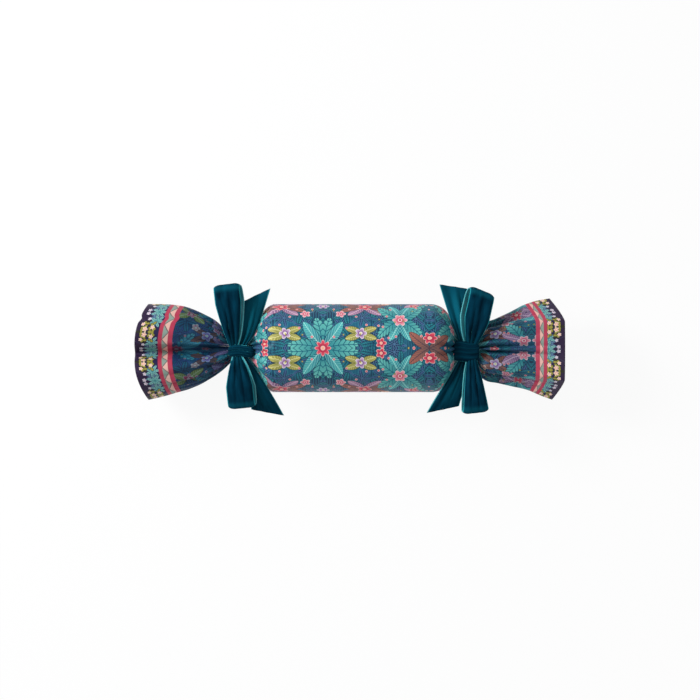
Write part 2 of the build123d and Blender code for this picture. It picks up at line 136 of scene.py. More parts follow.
# The print's own design, in millimetres along and round the cloth, where 0 round it is the barrel's top. It
# is mirrored at every whole HALF_TURN, and along the cloth at lines given by the place of one and their
# spacing. A fourfold motif is mirrored about its root. Directions are in degrees.
HALF_TURN = 55.3
DYES = [("#789bba", -78, -100), ("#c0ccd4", 78, 100)]  # each end's darker dye: where it starts and is full
BARREL_MIRRORS = (-24.0, 84.0)
END_MIRRORS = (95.0, 66.0)
PAINTS = {  # edge, dark, pale and rib of a leaf, or edge, petal, heart and eye of a flower
    "mint": ("#0f3450", "#1f8590", "#6cc4ba", "#0f5a74"),
    "sea": ("#0e2c4a", "#17677f", "#3fb0b4", "#9adfd6"),
    "night": ("#3b8799", "#101d3c", "#27427a", "#4a7199"),
    "deep": ("#0d2340", "#18637a", "#2b8f99", "#0e3350"),
    "mauve": ("#251a40", "#5f4070", "#b083a6", "#e0bccc"),
    "rust": ("#33223c", "#74544f", "#b86f5c", "#4d3c49"),
    "olive": ("#2c3a2c", "#6f7230", "#b4ae55", "#d9d492"),
    "ice": ("#22325a", "#6fb3ad", "#a8d6ca", "#3f8088"),
    "dusk": ("#6387a6", "#1d2a55", "#33477a", "#6387a6"),
    "coral": ("#f3c6bf", "#de4d62", "#b52a49", "#f3b08f"),
    "pink": ("#fae3e3", "#ec97a4", "#d25673", "#bf2e4d"),
    "lilac": ("#efebf3", "#c6a3c9", "#875a98", "#f0dfa2"),
    "straw": ("#5b5a2c", "#cdbb5f", "#a08a35", "#f0e6b0"),
    "peach": ("#f9e2d0", "#efb9a4", "#dc8f86", "#f6e3b6"),
}
SCATTERED_LEAVES = [  # seed, spacing, leaflets, length, half width, paint
    (1, 16.0, 7, 10.0, 1.8, "night"),
    (2, 19.0, 5, 11.0, 2.5, "deep"),
]
SCATTERED_BUDS = [  # seed, spacing, radius, share left out, paint
    (12, 10.0, 1.1, 0.5, "coral"),
    (13, 12.0, 0.9, 0.55, "straw"),
]
BARREL_LEAVES = [  # x, y, fourfold, direction, length, half width, curl, lobes, paint
    (33, 42, True, 55, 18, 4.0, 0.2, 0, "mauve"),
    (33, 42, True, 14, 21, 3.6, -0.15, 0, "rust"),
    (61, 24, True, 74, 20, 4.2, 0.15, 0, "sea"),
    (61, 24, True, 30, 23, 5.0, -0.2, 7, "mint"),
    (0, 0, False, 84, 27, 5.0, 0.1, 6, "mint"),
    (0, 0, False, 48, 27, 4.8, -0.12, 0, "sea"),
    (0, 0, False, 14, 28, 5.0, 0.15, 7, "mint"),
    (30, 12, True, 32, 13, 3.2, 0.2, 0, "olive"),
    (84, 55, False, -118, 25, 4.8, 0.15, 6, "mint"),
    (84, 55, False, -152, 24, 4.4, -0.15, 0, "mauve"),
    (84, 0, False, 150, 20, 4.0, 0.15, 0, "rust"),
]
BARREL_FLOWERS = [  # x, y, petals, radius, paint
    (0, 0, 8, 6.6, "coral"),
    (61, 24, 6, 6.0, "pink"),
    (33, 42, 5, 5.8, "coral"),
    (30, 12, 5, 4.8, "lilac"),
    (46, 4, 5, 4.4, "coral"),
    (14, 31, 5, 4.2, "pink"),
    (0, 44, 6, 5.2, "lilac"),
    (50, 51, 5, 4.4, "peach"),
    (84, 8, 6, 5.0, "coral"),
    (72, 44, 5, 4.2, "coral"),
]
END_LEAVES = [  # as on the barrel
    (12, 0, False, 62, 24, 4.6, 0.15, 6, "mint"),
    (12, 0, False, 24, 24, 4.6, -0.12, 0, "sea"),
    (12, 0, False, 150, 14, 3.4, 0.15, 0, "mauve"),
    (37, 19, True, 40, 15, 3.4, 0.2, 0, "rust"),
    (60, 8, False, 118, 24, 4.8, -0.15, 7, "mint"),
    (60, 8, False, 160, 20, 4.0, 0.15, 0, "mauve"),
    (20, 40, True, 35, 15, 3.4, 0.2, 0, "olive"),
    (56, 42, True, 60, 18, 4.2, 0.15, 0, "sea"),
    (56, 42, True, 18, 17, 3.6, -0.15, 0, "mauve"),
    (40, 50, False, -150, 16, 4.2, 0.1, 6, "mint"),
]
END_FLOWERS = [  # as on the barrel
    (12, 0, 8, 6.4, "coral"),
    (37, 19, 5, 5.0, "lilac"),
    (60, 8, 6, 5.4, "pink"),
    (20, 40, 5, 5.0, "coral"),
    (56, 42, 6, 5.6, "coral"),
    (36, 0, 5, 4.0, "coral"),
    (46, 30, 5, 4.2, "pink"),
    (27, 26, 5, 3.8, "peach"),
    (4, 22, 6, 4.6, "lilac"),
]

# The outer band's motifs, at a distance from the hem and a place along it, mirrored at every half repeat
BAND_HALF_REPEAT = 18.4
BAND_LEAVES = [  # distance, place, leaflets, length, half width, paint
    (12.5, 4.6, 7, 6.5, 1.0, "dusk"),
    (13.5, 0.0, 7, 7.0, 1.5, "ice"),
    (13.5, 9.4, 7, 6.5, 1.4, "ice"),
]
BAND_CLUSTERS = [(8.2, 18.4, 6.2), (5.8, 13.0, 3.6), (12.2, 13.2, 3.6)]  # distance, place, radius
BAND_SMALL_LEAF = (3.1, 0.95, 0.56)  # spacing, half width, width as a share of the length
BAND_FLOWERS = [  # distance, place, petals, radius, paint
    (7.0, 16.2, 5, 2.1, "peach"),
    (12.6, 14.6, 5, 1.8, "peach"),
    (4.6, 12.0, 5, 1.6, "peach"),
    (5.2, 1.8, 5, 1.6, "lilac"),
    (6.8, 7.2, 5, 1.4, "lilac"),
]

# How the print's motifs are drawn. A pair is where a paint starts to cover and where it covers in full, in
# millimetres within the motif's outline where nothing else is said
OUTLINE = (-0.1, 0.1)
LEAF_FILL = (0.3, 0.5)
LEAF_ROUNDING = 0.6
LEAF_PEAK = 2.3  # brings the rounded outline up to the leaf's half width
LEAF_PALING = (0.1, 0.95)  # of its length
VEIN_SPACING = 1.9
VEIN_SLANT = 0.9
VEIN_LINE = (0.4, 0.15)  # of a vein's wave
MIDRIB_LINE = (0.4, 0.2)  # from the leaf's middle
LOBE_DEPTH, LOBE_BASE = 0.4, 0.66
PETAL_FILL = (0.35, 0.55)
PETAL_DEPTH = 0.42  # of a flower's radius
PETAL_PARTING = (0.3, 0.12)  # of the petals' wave
FLOWER_RINGS = [(0.7, 0.35), (0.3, 0.26), (0.2, 0.16)]  # heart, ring and eye, in shares of the radius
BUD_RIM, BUD_FILL = (0.0, 0.15), (0.35, 0.5)
SMALL_LEAF_RIM, SMALL_LEAF_FILL = (-0.35, -0.2), (0.0, 0.15)

# The ribbons
RIBBON_WIDTH = 22 * MM
RIBBON_THICK = 0.9 * MM
RIBBON_COLUMNS = 41
RIBBON_PLEATS = 3  # across it, where the knot crushes it
PLEAT_SHARE = 0.85  # of the width that the pleats take up, the rest being lost in the knot
EDGE_ROLL_START = 0.5  # from the ribbon's middle to its edge, where the edge starts to roll down
KNOT_HEIGHT = AXIS + 15.3 * MM
KNOT_HALF_SIZE = (10.1 * MM, 4.9 * MM)  # along X and Z
KNOT_ROWS, KNOT_COLUMNS = 41, 64
KNOT_LIFT = 0.2 * MM
KNOT_CREASE = 0.8 * MM
KNOT_BEND = 0.7 * MM
# The pile's pattern on the knot and the band, in millimetres to a radian round them and to half their width
KNOT_PILE_TURN, BAND_PILE_TURN, PILE_HALF = 7, 9.5, 9.0
BAND_ROWS, BAND_COLUMNS = 25, 72
BAND_RADIUS = 9.8 * MM  # of the turn round the neck, at its edges
BAND_FULLNESS = 0.6 * MM
BAND_CREASE = 0.5 * MM
BAND_HALF_WIDTH = 5 * MM
LOOP_ROWS, TAIL_ROWS = 96, 64
LOOP_ROOT, TAIL_ROOT = 0.16, 0.2  # share of its width that each has at the knot
LOOP_CORNERS = 1.8 * MM  # how far the corners of a loop's far end are rounded off
TAIL_FOLD = 1.6 * MM  # the soft ridge along a tail
LOOP_PROFILE = [  # share of its reach, height in millimetres, share of its lower strand's shift
    (0.02, -1.2, 0),
    (0.12, 2.9, 0),
    (0.28, 8.0, 0),
    (0.5, 10.6, 0),
    (0.72, 10.6, 0),
    (0.9, 8.7, 0),
    (0.985, 5.4, 0.1),
    (1.0, 2.4, 0.35),
    (0.975, -0.6, 0.7),
    (0.89, -2.6, 0.9),
    (0.72, -1.0, 1),
    (0.5, 1.4, 1),
    (0.3, 1.8, 0.8),
    (0.12, 0.9, 0.3),
    (0.02, -0.4, 0),
]
TAIL_PROFILE = [  # share of its length, height in millimetres, share of its bulge to one side
    (0.02, -0.8, 0),
    (0.15, 0.6, 0.6),
    (0.35, 1.5, 1),
    (0.55, 1.0, 0.95),
    (0.78, -2.4, 0.5),
    (1, -8.0, 0),
]

# Each bow. A loop is (shift of its root, side, reach, width, lean in degrees, share of its reach at which it
# is fully open, rolls of its two edges, shift of its lower strand, skew of its far end). A tail is (shift of
# its root, side, long edge, short edge, lean, bulge). Both are in millimetres. A knot is (x, y, width).
LEFT_KNOT = (-CHOKE + 0.8 * MM, -2.4 * MM, 8.4 * MM)
LEFT_LOOPS = [
    (-5.4, 1, 53.2, 20.5, -7.0, 0.7, (0.5, 2.5), 2.4, 0.0),
    (-3.8, -1, 45.3, 21.0, 5.6, 0.6, (2.5, 3.0), 1.8, 0.0),
]
LEFT_TAILS = [(-1.8, 1, 55.4, 35.2, 15.2, 2.6), (-1.2, -1, 61.8, 45.6, 24.4, 0.0)]
RIGHT_KNOT = (CHOKE - 0.3 * MM, -2.6 * MM, 16 * MM)
RIGHT_LOOPS = [
    (2.9, 1, 49.2, 19.6, 12.4, 0.5, (3.0, 0.5), -3.6, 1.8),
    (4.0, -1, 48.8, 20.0, 4.6, 0.95, (2.5, 1.0), -1.6, 0.3),
]
RIGHT_TAILS = [(0.0, 1, 56.6, 48.4, 10.5, 0.2), (0.0, -1, 57.5, 42.0, 21.5, -1.2)]

# The parts inside, each with what its real material gives the eye
INNER_FINISHES = [  # nodes, material, dark, light, fibre width, roughness, fibre depth in millimetres
    # Dull and speckled, like packing board
    (["barrel_tube"], "spiral-wound grey board", "#8c8273", "#b3a893", 2.5, 0.8, 0.1),
    # Plain, warm and matt
    (["snap_card_left", "snap_card_right"], "buff snap card", "#a08a63", "#c4ae84", 1.2, 0.8, 0.05),
    # Nearly black and gritty
    (["snap_charge", "snap_grit"], "friction compound", "#2d2928", "#5b4c47", 0.5, 0.9, 0.15),
    # Smooth and brown, with fine streaks
    (["snap_sleeve"], "kraft paper", "#b79a6b", "#d2b88a", 1.5, 0.7, 0.04),
    # Deep even blue
    (["gift_box_base", "gift_box_lid"], "dyed navy card", "#152a45", "#1f3d5c", 1.5, 0.6, 0.05),
    # Bright and crinkled
    (["paper_crown"], "dyed crimson tissue", "#9c1f38", "#c93a52", 2.0, 0.65, 0.2),
    # Pale and smooth
    (["crown_band", "motto_slip"], "cream writing paper", "#e6dfcd", "#f4efe2", 1.5, 0.7, 0.03),
]

# The picture: 700 pixels wide, at 0.8 mm to a pixel
VIEW_WIDTH = 700 * 0.8 * MM
VIEW_MIDDLE = (-2.6 * MM, -1.5 * MM)
LENS, SENSOR = 180.0, 36.0
FLOOR_SIZE = 12
FLOOR_WHITE = 0.92  # of the floor's look is plain white, and the rest is the lit sweep with its shadow


def hex_colour(text):
    """A colour written as sRGB hex, turned to linear, with an alpha of one."""
    levels = [int(text[i : i + 2], 16) / 255 for i in (1, 3, 5)]
    linear = [level / 12.92 if level <= 0.04045 else ((level + 0.055) / 1.055) ** 2.4 for level in levels]
    return (*linear, 1.0)


def add_node(tree, kind, inputs=(), **settings):
    """Adds a shader node with its settings, its values and its links.

    A kind may end in the node's operation, as Math.ADD does. The inputs are a dict by socket, or a list in
    the sockets' order. A node among them links its first output.
    """
    kind, _, operation = kind.partition(".")
    node = tree.nodes.new("ShaderNode" + kind)
    if operation:
        node.operation = operation
    for name, value in settings.items():
        setattr(node, name, value)
    if not isinstance(inputs, dict):
        inputs = dict(enumerate(inputs))
    for name, value in inputs.items():
        socket = node.inputs[name]
        if isinstance(value, bpy.types.Node):
            value = value.outputs[0]
        if isinstance(value, bpy.types.NodeSocket):
            tree.links.new(value, socket)
        elif isinstance(value, str):
            socket.default_value = hex_colour(value)
        else:
            socket.default_value = value
    return node


def new_material(name):
    """An empty material, and the function that adds nodes to it."""
    material = bpy.data.materials.new(name)
    material.use_nodes = True
    material.node_tree.nodes.clear()
    return material, partial(add_node, material.node_tree)


def smooth_curve(table, places):
    """A smooth curve through a table's points that never turns back between them, read at some places."""
    x, y = np.array(table, float).T
    step, rise = np.diff(x), np.diff(y)
    slope = rise / step
    tangent = np.concatenate([[slope[0]], (slope[1:] + slope[:-1]) / 2, [slope[-1]]])
    flat = slope[1:] * slope[:-1] <= 0
    tangent[1:-1][flat] = 0
    limit = 3 * np.minimum(np.abs(np.append(slope, slope[-1])), np.abs(np.insert(slope, 0, slope[0])))
    tangent = np.clip(tangent, -limit, limit)
    i = np.clip(np.searchsorted(x, places, side="right") - 1, 0, len(step) - 1)
    t = np.clip((places - x[i]) / step[i], 0, 1)
    start = (2 * t**3 - 3 * t**2 + 1) * y[i] + (t**3 - 2 * t**2 + t) * step[i] * tangent[i]
    return start + (-2 * t**3 + 3 * t**2) * y[i + 1] + (t**3 - t**2) * step[i] * tangent[i + 1]


def spline(points, count):
    """Points spread evenly by index along a smooth open curve through some points."""
    points = np.array(points, float)
    padded = np.vstack([2 * points[0] - points[1], points, 2 * points[-1] - points[-2]])
    t = np.linspace(0, len(points) - 1, count)
    i = np.clip(t.astype(int), 0, len(points) - 2)
    t = (t - i)[:, None]
    a, b, c, d = padded[i], padded[i + 1], padded[i + 2], padded[i + 3]
    return 0.5 * (2 * b + (c - a) * t + (2 * a - 5 * b + 4 * c - d) * t**2 + (3 * b - a - 3 * c + d) * t**3)


def bell(places, middle, width):
    """One at the middle, fading to nothing on both sides."""
    return np.exp(-(((places - middle) / width) ** 2))


def lengths_along(line):
    """The length of a line from its start to each of its points."""
    return np.concatenate([[0], np.cumsum(np.linalg.norm(np.diff(line, axis=0), axis=1))])


def smooth_outline(points):
    """A dense closed outline, smooth all over."""
    ring = np.array([*points[-3:], *points, *points[:4]], float)
    dense = spline(ring, SPLINE_STEPS * (len(ring) - 1) + 1)
    return dense[3 * SPLINE_STEPS : (3 + len(points)) * SPLINE_STEPS]


def faceted_outline(points, softness):
    """A dense closed outline with straight sides and soft corners."""
    points = np.array(points, float)
    t = np.linspace(0, 1, CORNER_STEPS)[:, None]
    corners = []
    for before, here, after in zip(np.roll(points, 1, axis=0), points, np.roll(points, -1, axis=0)):
        start = here + (before - here) * softness
        stop = here + (after - here) * softness
        corners.append((1 - t) ** 2 * start + 2 * t * (1 - t) * here + t**2 * stop)
    return np.vstack(corners)


def round_outline(outline, turns):
    """An outline's points at some shares of a turn, spaced evenly along its edge."""
    outline = np.vstack([outline, outline[:1]])
    edge = lengths_along(outline)
    start = np.arctan2(outline[0, 1], outline[0, 0]) / TURN
    spots = (turns - start) % 1
    return np.stack([np.interp(spots, edge / edge[-1], outline[:, axis]) for axis in (0, 1)], axis=-1)


def pleats(turns, count, seed, sharpness):
    """Uneven pleats round the neck: 0 on their ridges and 1 in their valleys."""
    random = np.random.default_rng(seed)
    phase = count * TURN * turns
    for wave in range(1, UNEVEN_WAVES + 1):
        phase = phase + random.uniform(*UNEVENNESS) * np.sin(TURN * wave * turns + random.uniform(0, TURN))
    height = 1 + HEIGHT_CHANGE * np.sin(TURN * 5 * turns + random.uniform(0, TURN))
    return height * (1 - np.abs(np.sin(phase / 2)) ** sharpness)


def cloth_grid(along, across):
    """The cloth's own coordinates for a grid of points, from one for its rows and one for its columns."""
    return np.stack(np.broadcast_arrays(along, across), axis=-1)


def grid_mesh(name, points, cloth, wrap=False, keep=None):
    """A mesh from a grid of points, rows by columns, with the cloth's own coordinates in its UV map."""
    rows, columns = points.shape[:2]
    row, column = np.meshgrid(np.arange(rows - 1), np.arange(columns if wrap else columns - 1), indexing="ij")
    here = row * columns
    further = here + columns
    beside = (column + 1) % columns
    faces = np.stack([here + column, here + beside, further + beside, further + column], axis=-1)
    if keep is not None:
        faces = faces[keep]
    faces = faces.reshape(-1, 4)
    mesh = bpy.data.meshes.new(name)
    mesh.from_pydata(points.reshape(-1, 3).tolist(), [], faces.tolist())
    layer = mesh.uv_layers.new(name="cloth")
    layer.data.foreach_set("uv", cloth.reshape(-1, 2)[faces.ravel()].ravel().astype(np.float32))
    mesh.polygons.foreach_set("use_smooth", np.ones(len(faces), bool))
    mesh.update()
    piece = bpy.data.objects.new(name, mesh)
    bpy.context.scene.collection.objects.link(piece)
    return piece


def add_float(piece, name, values):
    """Stores one number at each point of a piece, for its material."""
    attribute = piece.data.attributes.new(name, "FLOAT", "POINT")
    attribute.data.foreach_set("value", np.asarray(values, np.float32).ravel())


def thicken(piece, thickness, offset=-1, back_slot=0, rim_slot=0):
    """Gives a sheet its real thickness, and its back and rim their own materials."""
    solid = piece.modifiers.new("thickness", "SOLIDIFY")
    solid.thickness = thickness
    solid.offset = offset
    solid.use_rim = True
    solid.material_offset = back_slot
    solid.material_offset_rim = rim_slot


def left_edge_back(y):
    """How far the left mouth's edge lies behind its middle: a soft arc with a small notch."""
    middle, half_mouth, arc_depth = -3 * MM, 38.3 * MM, 10.5 * MM
    notch_place, notch_width, notch_depth = 23.5 * MM, 2.2 * MM, 1.6 * MM
    arc = arc_depth * (np.abs(y - middle) / half_mouth) ** 2.4
    return arc + notch_depth * bell(y, notch_place, notch_width)


def right_edge_back(y):
    """How far the right mouth's edge lies behind its middle: straight over the top facet, slanted beyond."""
    facet_low, facet_high = -25.5 * MM, 21 * MM
    slant_width, slant_depth = 19.2 * MM, 10.8 * MM
    half_mouth, arc_depth = 40 * MM, 0.6 * MM
    beyond = np.maximum(np.maximum(y - facet_high, facet_low - y), 0)
    return slant_depth * (beyond / slant_width) ** 1.3 + arc_depth * (y / half_mouth) ** 2


# Each half of the wrap: an end follows one table on its +Y side and another on its -Y side, and valley is the
# place of its one deep fold, as a share of a turn from the +Y side
LEFT = SimpleNamespace(
    side=-1,
    mouth_x=-LEFT_MOUTH_X,
    shoulder=LEFT_SHOULDER,
    ends=(LEFT_FAR_SIDE, LEFT_NEAR_SIDE),
    mouth=smooth_outline(LEFT_MOUTH) * MM,
    edge_back=left_edge_back,
    valley=0.275,
    seed=11,
)
RIGHT = SimpleNamespace(
    side=1,
    mouth_x=RIGHT_MOUTH_X,
    shoulder=RIGHT_SHOULDER,
    ends=(RIGHT_FAR_SIDE, RIGHT_NEAR_SIDE),
    mouth=faceted_outline(RIGHT_MOUTH, CORNER_SOFTNESS) * MM,
    edge_back=right_edge_back,
    valley=0.29,
    seed=23,
)


def fold_depth(half, turns, grown, on_end):
    """How far the cloth lies within its outline, in the neck's pleats, the wider folds and the valley."""
    broad = pleats(turns, FOLD_COUNTS[0], half.seed + 1, FOLD_SHARPNESS[0])[None]
    fine = pleats(turns, FOLD_COUNTS[1], half.seed, FOLD_SHARPNESS[1])[None]
    left = np.clip(1 - grown, 0, 1)
    near_neck = NECK_PLEATS * left**2.5 * fine
    spread = 4 * grown * left**1.5
    end_folds = spread * (END_FOLDS[0] * broad + END_FOLDS[1] * fine)
    on_shoulder = spread + EDGE_PLEATS * grown * left / (left + EDGE_PLEATS_FADE)
    shoulder_folds = on_shoulder * (SHOULDER_FOLDS[0] * broad + SHOULDER_FOLDS[1] * fine)
    from_valley = (turns - half.valley + 0.5) % 1 - 0.5
    valley = VALLEY_DEPTH * 4 * grown * left * bell(from_valley, 0, VALLEY_WIDTH)[None]
    return near_neck + np.where(on_end, end_folds + valley, shoulder_folds)


def wrap_rows(half, turns, rows, short):
    """Each row's place along X, its points' growth from neck to full size, and whether it is on the end."""
    barrel_rows = rows // 20
    shoulder_rows = rows // 9
    neck_rows = rows // 28
    end_rows = rows // 2 - barrel_rows - shoulder_rows - neck_rows
    on_shoulder = np.linspace(0, 1, shoulder_rows, endpoint=False)
    out = np.linspace(0, 1, end_rows) ** END_ROW_SPREAD
    stretches = [
        np.linspace(0, BARREL_HALF, barrel_rows, endpoint=False),
        BARREL_HALF + on_shoulder * (NECK_START - BARREL_HALF),
        np.linspace(NECK_START, NECK_END, neck_rows, endpoint=False),
        NECK_END + out * (half.mouth_x - short - NECK_END),
    ]
    far, near = (smooth_curve(table, out)[:, None] for table in half.ends)
    nearness = (0.5 - 0.5 * np.cos(TURN * turns))[None]
    on_barrel = np.ones(barrel_rows)
    inner = np.concatenate([on_barrel, smooth_curve(half.shoulder, on_shoulder), np.zeros(neck_rows)])
    grown = np.concatenate([np.tile(inner[:, None], len(turns)), far * (1 - nearness) + near * nearness])
    on_end = np.arange(len(grown)) >= len(inner) - neck_rows // 2
    return np.concatenate(stretches), np.clip(grown, 0, MOST_GROWN), on_end[:, None]


def half_wrap(half, turns, rows, depth, short):
    """Half the wrap, from its middle out to the mouth: points, lengths of cloth and distances to the hem."""
    x, grown, on_end = wrap_rows(half, turns, rows, short)
    circle = np.stack([np.cos(TURN * turns), np.sin(TURN * turns)], axis=-1)[None]
    mouth = round_outline(half.mouth, turns)[None]
    wide = np.where(on_end[..., None], mouth, SILK_RADIUS * circle)
    outline = NECK_RADIUS * circle * (1 - grown[..., None]) + wide * grown[..., None]
    radius = np.linalg.norm(outline, axis=-1)
    cloth = np.cumsum(np.hypot(np.gradient(x), np.gradient(radius.mean(axis=1))))
    cloth -= cloth[0]

    bridged = CARD_SPAN if depth else 0
    folds = [fold_depth(half, turns + shift, grown, on_end) for shift in (-bridged, 0, bridged)]
    slack = SLACK * np.sin(TURN * SLACK_WAVES * turns + 1.3)[None] * np.where(on_end, grown, 0)
    beyond_snap = (radius - np.max(folds, axis=0) - slack - SNAP_ROOM) / SNAP_EASE
    shrink = (SNAP_ROOM + SNAP_EASE * np.logaddexp(0, beyond_snap)) / radius
    y, z = outline[..., 0] * shrink, outline[..., 1] * shrink
    outwards = np.clip((x - NECK_END) / (x[-1] - NECK_END) / EDGE_REACH, 0, 1)[:, None] ** 1.4
    back = half.edge_back(y) * outwards
    points = np.stack([half.side * (x[:, None] - back), y, AXIS + z], axis=-1)
    inward = np.cross(np.gradient(points, axis=0), np.gradient(points, axis=1)) * half.side
    points += depth * inward / np.linalg.norm(inward, axis=-1, keepdims=True)
    return points, half.side * cloth, cloth[-1] - cloth


def wrap_grid(rows, columns, depth=0, short=0, lap=0):
    """The whole wrap as a grid: its points, and in millimetres its cloth's coordinates and hem distances.

    The last value is the number of rows on its left half.
    """
    lap_turn = lap / (TURN * SILK_RADIUS)
    turns = np.linspace(0, 1 + lap_turn, columns, endpoint=bool(lap)) - 0.25 - lap_turn / 2
    left, left_u, left_hem = half_wrap(LEFT, turns, rows, depth, short)
    right, right_u, right_hem = half_wrap(RIGHT, turns, rows, depth, short)
    points = np.concatenate([left[:0:-1], right])
    u = np.concatenate([left_u[:0:-1], right_u])
    hem = np.concatenate([left_hem[:0:-1], right_hem])
    if lap:
        over = np.clip((turns - (turns[-1] - lap_turn)) * columns / LAP_STEP, 0, 1)[None, :, None]
        outward = points[..., 1:] - np.array([0, AXIS])
        points[..., 1:] += LAP_RISE * over * outward / np.linalg.norm(outward, axis=-1, keepdims=True)
        points[..., 2] = np.maximum(points[..., 2], FLOOR_GAP)
    v = (turns - 0.25) * TURN * SILK_RADIUS
    return points, cloth_grid(u[:, None], v[None]) / MM, hem / MM, len(left) - 1


def make_silk_wrap():
    """The printed silk, from mouth to mouth, lapped along its underside.

    Its border coordinate is 0 at a hem and reaches each of BORDER_LINES in turn, whatever the widths there.
    The print is split over three materials, because one can't hold the nodes of all of it.
    """
    points, cloth, hem, left_rows = wrap_grid(SILK_ROWS, SILK_COLUMNS, lap=LAP_WIDTH)
    piece = grid_mesh("printed_silk_wrap", points, cloth)
    border = np.empty_like(hem)
    for rows, widths in ((slice(0, left_rows), LEFT_BORDER), (slice(left_rows, None), RIGHT_BORDER)):
        edges = np.cumsum([0, *widths])
        inside = np.maximum(hem[rows] - edges[-1], 0)
        border[rows] = np.interp(hem[rows], edges, (0, *BORDER_LINES)) + inside / 10
    add_float(piece, "border", np.broadcast_to(border[:, None], cloth.shape[:2]))
    add_float(piece, "hem", np.broadcast_to(hem[:, None], cloth.shape[:2]))
    thicken(piece, SILK_THICK)
    for name, draw in (("barrel", barrel_print), ("ends", end_print), ("hems", hem_border)):
        piece.data.materials.append(silk_twill(f"printed silk twill, {name}", draw))
    on_end = np.abs(points[:-1, :-1, 0]) > CHOKE
    at_hem = np.minimum(border[1:], border[:-1])[:, None] < BORDER_LINES[-1] - 0.01
    piece.data.polygons.foreach_set("material_index", (on_end.astype(np.int32) + (on_end & at_hem)).ravel())
    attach(piece, "cracker")
    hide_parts("silk_wrap")


def make_inner_card():
    """The card under the silk, slotted at each choke so that it folds in there."""
    points, cloth, _, _ = wrap_grid(CARD_ROWS, CARD_COLUMNS, depth=CARD_DEPTH, short=CARD_SHORT)
    from_choke = np.abs(np.abs(points[:-1, :, 0].mean(axis=1)) - CHOKE)
    in_slot = np.arange(CARD_COLUMNS) % (CARD_COLUMNS // SLOTS) < SLOT_COLUMNS
    slotted = (from_choke < SLOT_HALF)[:, None] & in_slot[None]
    piece = grid_mesh("inner_card_lining", points, cloth, wrap=True, keep=~slotted)
    thicken(piece, CARD_THICK)
    piece.data.materials.append(white_card())
    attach(piece, "cracker")
    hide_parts("inner_card")


def motif_place(add, place, x, y, degrees=0.0, fourfold=False):
    """A motif's own place: its root at x and y in millimetres, turned."""
    local = add("VectorMath.SUBTRACT", [place, (x, y, 0)])
    if fourfold:
        local = add("VectorMath.ABSOLUTE", [local])
    if degrees:
        inputs = {"Vector": local, "Angle": radians(-degrees)}
        local = add("VectorRotate", inputs, rotation_type="Z_AXIS")
    return local


def scatter(add, place, cell, seed, looseness):
    """One motif in each cell of a loose scatter: its own place, turned at random, a chance and its middle."""
    shift = (seed * 3.7, seed * 1.9, 0)  # to a part of the pattern that no other scatter uses
    shifted = add("Mapping", {"Vector": place, "Location": shift, "Scale": (1 / cell, 1 / cell, 1)})
    loose = {"Vector": shifted, "Scale": 1.0, "Randomness": looseness}
    cells = add("TexVoronoi", loose, voronoi_dimensions="2D")
    away = add("VectorMath.SUBTRACT", [shifted, cells.outputs["Position"]])
    sized = add("VectorMath.SCALE", {0: away, "Scale": cell})
    chances = add("SeparateColor", [cells.outputs["Color"]])
    turn = add("Math.MULTIPLY", [chances.outputs[0], TURN])
    local = add("VectorRotate", {"Vector": sized, "Angle": turn}, rotation_type="Z_AXIS")
    middle = add("VectorMath.SUBTRACT", [place, sized])
    return local, chances.outputs[1], middle


def polar(add, local):
    """How far a place is from its motif's middle, and in what direction."""
    x, y, _ = add("SeparateXYZ", [local]).outputs
    reach = add("VectorMath.LENGTH", [local]).outputs["Value"]
    return reach, add("Math.ARCTAN2", [y, x])


def around(add, local, count):
    """A place folded into one of several like sectors, as its distances along and across the sector."""
    reach, angle = polar(add, local)
    folded = add("Math.WRAP", [angle, pi / count, -pi / count])
    cosine = add("Math.COSINE", [folded])
    sine = add("Math.SINE", [folded])
    along = add("Math.MULTIPLY", [reach, cosine])
    across = add("Math.MULTIPLY", [reach, sine])
    return add("CombineXYZ", [along, across])


def cover(add, under, paint, measure, low, high):
    """Lays a paint over what is under it where a measure passes from low to high."""
    mask = add("MapRange", {"Value": measure, "From Min": low, "From Max": high})
    return add("Mix", {"Factor": mask, 6: under, 7: paint}, data_type="RGBA").outputs[2]


def leaf(add, local, under, length, width, colours, curl=0.0, lobes=0):
    """A leaf along the local X axis: a dark edge, a fill that pales to its tip, side veins and a midrib."""
    edge, dark, pale, rib = colours
    x, y, _ = add("SeparateXYZ", [local]).outputs
    out = add("Math.DIVIDE", [x, length])
    squared = add("Math.MULTIPLY", [out, out])
    curled = add("Math.MULTIPLY_ADD", [squared, curl * length, y])
    side = add("Math.ABSOLUTE", [curled])

    left = add("Math.SUBTRACT", [1.0, out])
    arch = add("Math.MULTIPLY", [out, left])
    body = add("Math.MAXIMUM", [arch, 0.0])
    rounded = add("Math.POWER", [body, LEAF_ROUNDING])
    half = add("Math.MULTIPLY", [rounded, LEAF_PEAK * width])

    waves = lobes or length / VEIN_SPACING
    slanted = add("Math.MULTIPLY_ADD", [side, -VEIN_SLANT, x])
    turn = add("Math.MULTIPLY", [slanted, pi * waves / length])
    sine = add("Math.SINE", [turn])
    wave = add("Math.ABSOLUTE", [sine])
    if lobes:
        cut = add("Math.MULTIPLY_ADD", [wave, LOBE_DEPTH, LOBE_BASE])
        half = add("Math.MULTIPLY", [half, cut])
    inside = add("Math.SUBTRACT", [half, side])
    fill = cover(add, dark, pale, out, *LEAF_PALING)
    fill = cover(add, fill, rib, wave, *VEIN_LINE)
    fill = cover(add, fill, rib, side, *MIDRIB_LINE)
    layer = cover(add, under, edge, inside, *OUTLINE)
    return cover(add, layer, fill, inside, *LEAF_FILL)


